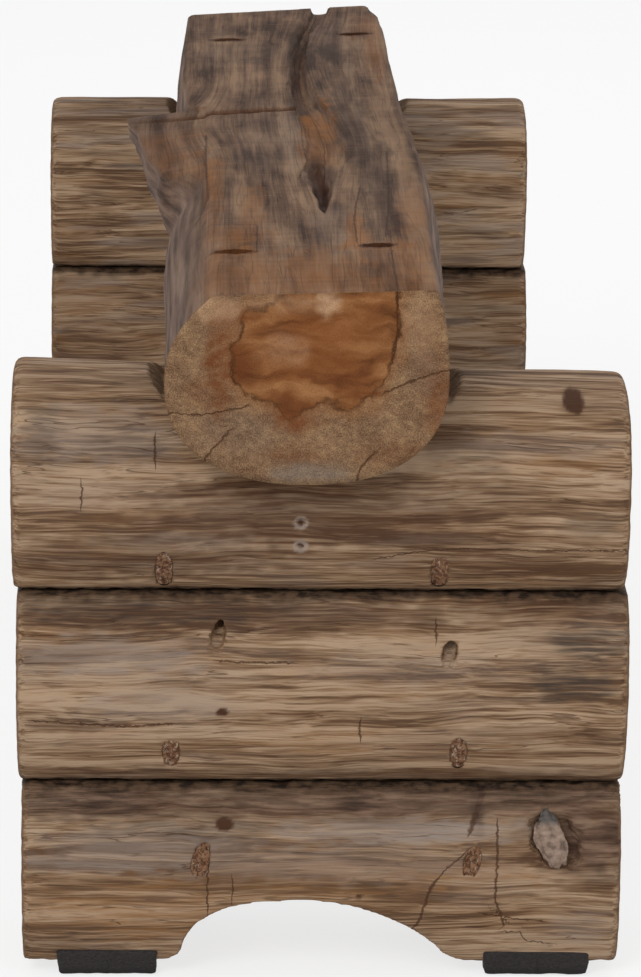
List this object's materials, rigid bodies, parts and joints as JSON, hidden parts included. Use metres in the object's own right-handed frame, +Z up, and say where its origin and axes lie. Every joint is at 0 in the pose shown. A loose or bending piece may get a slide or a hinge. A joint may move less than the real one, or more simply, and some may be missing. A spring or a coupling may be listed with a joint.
{
  "type": "log bench",
  "caption": "Rustic teak bench: a live edge half log seat lying in saddles on two supports of stacked short logs, with arched feet and rubber pads.",
  "frame": {"origin": "on the floor, under the middle of the bench's bounding box", "axes": "+Z up, +Y along the seat from the end that is nearest in the picture to the far end, +X to the right in the picture"},
  "size_m": [0.4026, 1.1155, 0.4651],
  "materials": {
    "teak_seat": "dry weathered teak, sanded top, bare end grain",
    "teak_log": "debarked dry teak log, brushed grain",
    "wood_filler": "sawdust and glue filler, cracked",
    "screw_steel": "zinc plated",
    "pad_rubber": "matt black"
  },
  "bodies": {
    "root": {"far_bottom_log": "teak_log", "far_bottom_toe_plug_left": "wood_filler", "far_bottom_toe_plug_right": "wood_filler", "far_bottom_toe_screw_left": "screw_steel", "far_bottom_toe_screw_right": "screw_steel", "far_foot_pad_left": "pad_rubber", "far_foot_pad_right": "pad_rubber", "far_middle_down_toe_plug_left": "wood_filler", "far_middle_down_toe_plug_right": "wood_filler", "far_middle_down_toe_screw_left": "screw_steel", "far_middle_down_toe_screw_right": "screw_steel", "far_middle_log": "teak_log", "far_middle_up_toe_screw_left": "screw_steel", "far_middle_up_toe_screw_right": "screw_steel", "far_pad_nail_left_inner": "screw_steel", "far_pad_nail_left_outer": "screw_steel", "far_pad_nail_right_inner": "screw_steel", "far_pad_nail_right_outer": "screw_steel", "far_seat_screw_left": "screw_steel", "far_seat_screw_right": "screw_steel", "far_seat_trim_screw_lower": "screw_steel", "far_seat_trim_screw_upper": "screw_steel", "far_top_log": "teak_log", "far_top_toe_plug_left": "wood_filler", "far_top_toe_plug_right": "wood_filler", "far_top_toe_screw_left": "screw_steel", "far_top_toe_screw_right": "screw_steel", "near_bottom_log": "teak_log", "near_bottom_toe_plug_left": "wood_filler", "near_bottom_toe_plug_right": "wood_filler", "near_bottom_toe_screw_left": "screw_steel", "near_bottom_toe_screw_right": "screw_steel", "near_foot_pad_left": "pad_rubber", "near_foot_pad_right": "pad_rubber", "near_middle_down_toe_plug_left": "wood_filler", "near_middle_down_toe_plug_right": "wood_filler", "near_middle_down_toe_screw_left": "screw_steel", "near_middle_down_toe_screw_right": "screw_steel", "near_middle_log": "teak_log", "near_middle_up_toe_screw_left": "screw_steel", "near_middle_up_toe_screw_right": "screw_steel", "near_pad_nail_left_inner": "screw_steel", "near_pad_nail_left_outer": "screw_steel", "near_pad_nail_right_inner": "screw_steel", "near_pad_nail_right_outer": "screw_steel", "near_seat_screw_left": "screw_steel", "near_seat_screw_right": "screw_steel", "near_seat_trim_screw_lower": "screw_steel", "near_seat_trim_screw_upper": "screw_steel", "near_top_log": "teak_log", "near_top_toe_plug_left": "wood_filler", "near_top_toe_plug_right": "wood_filler", "near_top_toe_screw_left": "screw_steel", "near_top_toe_screw_right": "screw_steel", "seat_beam": "teak_seat"}
  },
  "joints": []
}
